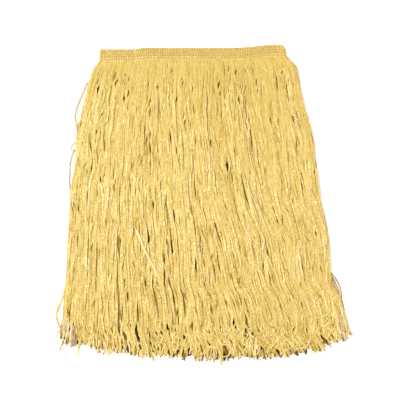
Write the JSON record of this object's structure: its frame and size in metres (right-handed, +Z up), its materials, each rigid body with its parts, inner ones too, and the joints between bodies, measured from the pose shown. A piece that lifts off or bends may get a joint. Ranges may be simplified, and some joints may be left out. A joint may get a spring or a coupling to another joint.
{
  "type": "grass skirt",
  "caption": "Grass skirt laid flat: a chain-stitched raffia waistband overlapped at one side, with a long ragged fringe of crinkled raffia strands.",
  "frame": {"origin": "middle of the laid skirt's footprint, on the surface it lies on", "axes": "+X to the right of the laid front, +Y towards the waistband, +Z up from the surface"},
  "size_m": [0.6184, 0.6712, 0.0174],
  "materials": {
    "waistband": "chain-stitched raffia, satin",
    "raffia": "crinkled raffia strips, satin sheen"
  },
  "bodies": {
    "root": {"waistband": "waistband", "fringe_back_outer": "raffia", "fringe_back_inner": "raffia", "fringe_front_inner": "raffia", "fringe_front_outer": "raffia"}
  },
  "joints": []
}
